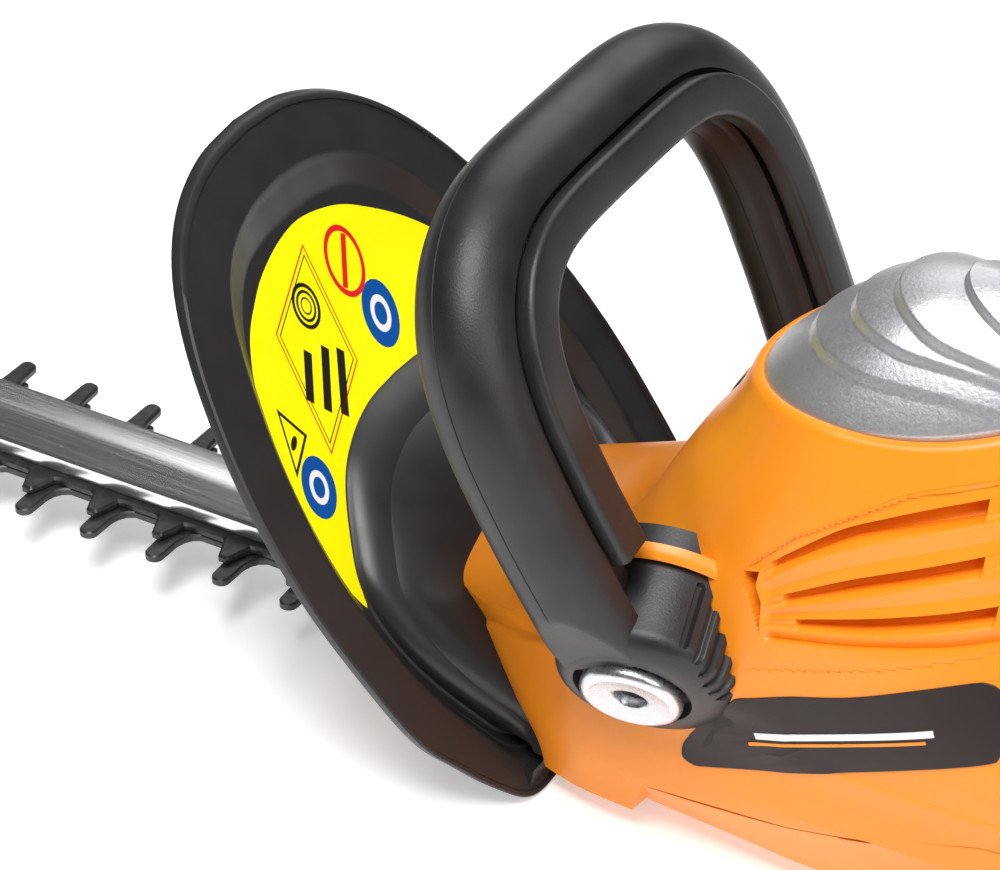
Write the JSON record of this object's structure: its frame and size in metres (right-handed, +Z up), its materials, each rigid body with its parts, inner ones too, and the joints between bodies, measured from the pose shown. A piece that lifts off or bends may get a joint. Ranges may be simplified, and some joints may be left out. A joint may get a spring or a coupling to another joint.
{
  "type": "hedge trimmer",
  "caption": "Electric hedge trimmer with a double-sided reciprocating blade, hand shield, loop front handle with switch bar, upright motor under a stepped cap and D-shaped rear handle.",
  "frame": {"origin": "middle of the flat foot of the guard, on the ground the tool stands on", "axes": "+X towards the rear handle (the blade points to -X), +Z up, +Y to the left as seen by someone who faces the blade end"},
  "size_m": [0.956, 0.2124, 0.2338],
  "materials": {
    "orange_plastic": "satin moulded",
    "black_plastic": "fine texture",
    "silver_shell": "metallic paint",
    "yellow_label": "printed film",
    "badge": "satin film",
    "blade_steel": "dark coated",
    "rail_aluminium": "brushed",
    "steel": "plain",
    "cast_alloy": "cast",
    "copper": "wound",
    "rubber": "matte"
  },
  "bodies": {
    "tool": {"housing_left": "orange_plastic", "housing_right": "orange_plastic", "base_cover": "orange_plastic", "dome_cover": "silver_shell", "badge_left": "badge", "badge_right": "badge", "guard": "black_plastic", "guard_label": "yellow_label", "guard_screw_1": "steel", "guard_screw_2": "steel", "handle_front_shell": "black_plastic", "handle_rear_shell": "black_plastic", "handle_foot_left": "black_plastic", "handle_foot_right": "black_plastic", "handle_cap_left": "silver_shell", "handle_cap_right": "silver_shell", "handle_bolt_left": "steel", "handle_bolt_right": "steel", "blade_rail": "rail_aluminium", "blade_bolt_1": "steel", "blade_bolt_2": "steel", "blade_bolt_3": "steel", "blade_bolt_4": "steel", "blade_nut_1": "steel", "blade_nut_2": "steel", "blade_nut_3": "steel", "blade_nut_4": "steel", "gearcase": "cast_alloy", "gear_cover": "cast_alloy", "motor_stator": "steel", "bearing_lower": "steel", "bearing_upper": "steel", "motor_bracket": "black_plastic", "brush_left": "copper", "brush_right": "copper", "trigger_pin": "steel", "rear_switch": "black_plastic", "front_switch": "black_plastic", "capacitor": "yellow_label", "cable_gland": "rubber", "cord_clamp": "black_plastic", "housing_screw_1": "steel", "housing_screw_2": "steel", "housing_screw_3": "steel", "housing_screw_4": "steel"},
    "crank": {"drive_gear": "steel", "gear_axle": "steel", "cam_upper": "steel", "cam_lower": "steel"},
    "rotor": {"armature": "copper", "pinion_gear": "steel", "fan": "black_plastic"},
    "upper_cutter": {"upper_blade": "blade_steel"},
    "lower_cutter": {"lower_blade": "blade_steel"},
    "front_bar": {"switch_bar": "black_plastic"},
    "rear_trigger": {"trigger": "black_plastic"}
  },
  "joints": [
    {"name": "crank_spin", "type": "hinge", "parent": "tool", "child": "crank", "pos_m": [0.072, 0, 0.05], "axis": [0, 0, 1], "continuous": true},
    {"name": "motor_spin", "type": "hinge", "parent": "tool", "child": "rotor", "pos_m": [0.12, 0, 0.09], "axis": [0, 0, 1], "continuous": true},
    {"name": "upper_blade_slide", "type": "slide", "parent": "tool", "child": "upper_cutter", "axis": [1, 0, 0], "range_m": [-0.00485, 0.00715]},
    {"name": "lower_blade_slide", "type": "slide", "parent": "tool", "child": "lower_cutter", "axis": [1, 0, 0], "range_m": [-0.00715, 0.00485]},
    {"name": "switch_bar_press", "type": "hinge", "parent": "tool", "child": "front_bar", "pos_m": [0.058, 0, 0.106], "axis": [0, -1, 0], "range_deg": [0, 1.2], "stiffness_Nm_per_rad": 20},
    {"name": "trigger_squeeze", "type": "hinge", "parent": "tool", "child": "rear_trigger", "pos_m": [0.254, 0, 0.16], "axis": [0, -1, 0], "range_deg": [0, 7], "stiffness_Nm_per_rad": 1}
  ],
  "couplings": [
    {"joint": "motor_spin", "follows": "crank_spin", "ratio": -4.3333},
    {"joint": "lower_blade_slide", "follows": "upper_blade_slide", "ratio": -1}
  ]
}
